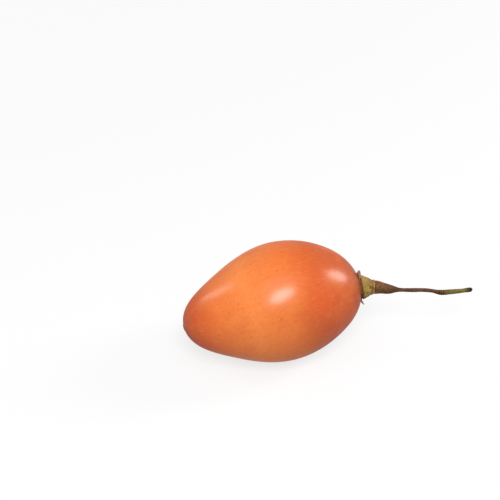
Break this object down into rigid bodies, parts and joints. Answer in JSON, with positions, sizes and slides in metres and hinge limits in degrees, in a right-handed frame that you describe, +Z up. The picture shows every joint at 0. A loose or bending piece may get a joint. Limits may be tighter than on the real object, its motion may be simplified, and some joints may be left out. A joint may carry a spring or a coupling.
{
  "type": "tamarillo",
  "caption": "Egg-shaped orange tamarillo fruit with its calyx and a long thin stalk, picked and lying on its side.",
  "frame": {"origin": "middle of the small flat spot that the fruit rests on, under its centre of mass", "axes": "+X along the fruit towards its stalk end, +Z up, -Z out of the flat spot"},
  "size_m": [0.1132, 0.0468, 0.0456],
  "materials": {
    "skin": "satin",
    "calyx": "matte",
    "stalk": "matte"
  },
  "bodies": {
    "root": {"fruit": "skin", "calyx": "calyx", "stalk": "stalk"}
  },
  "joints": []
}
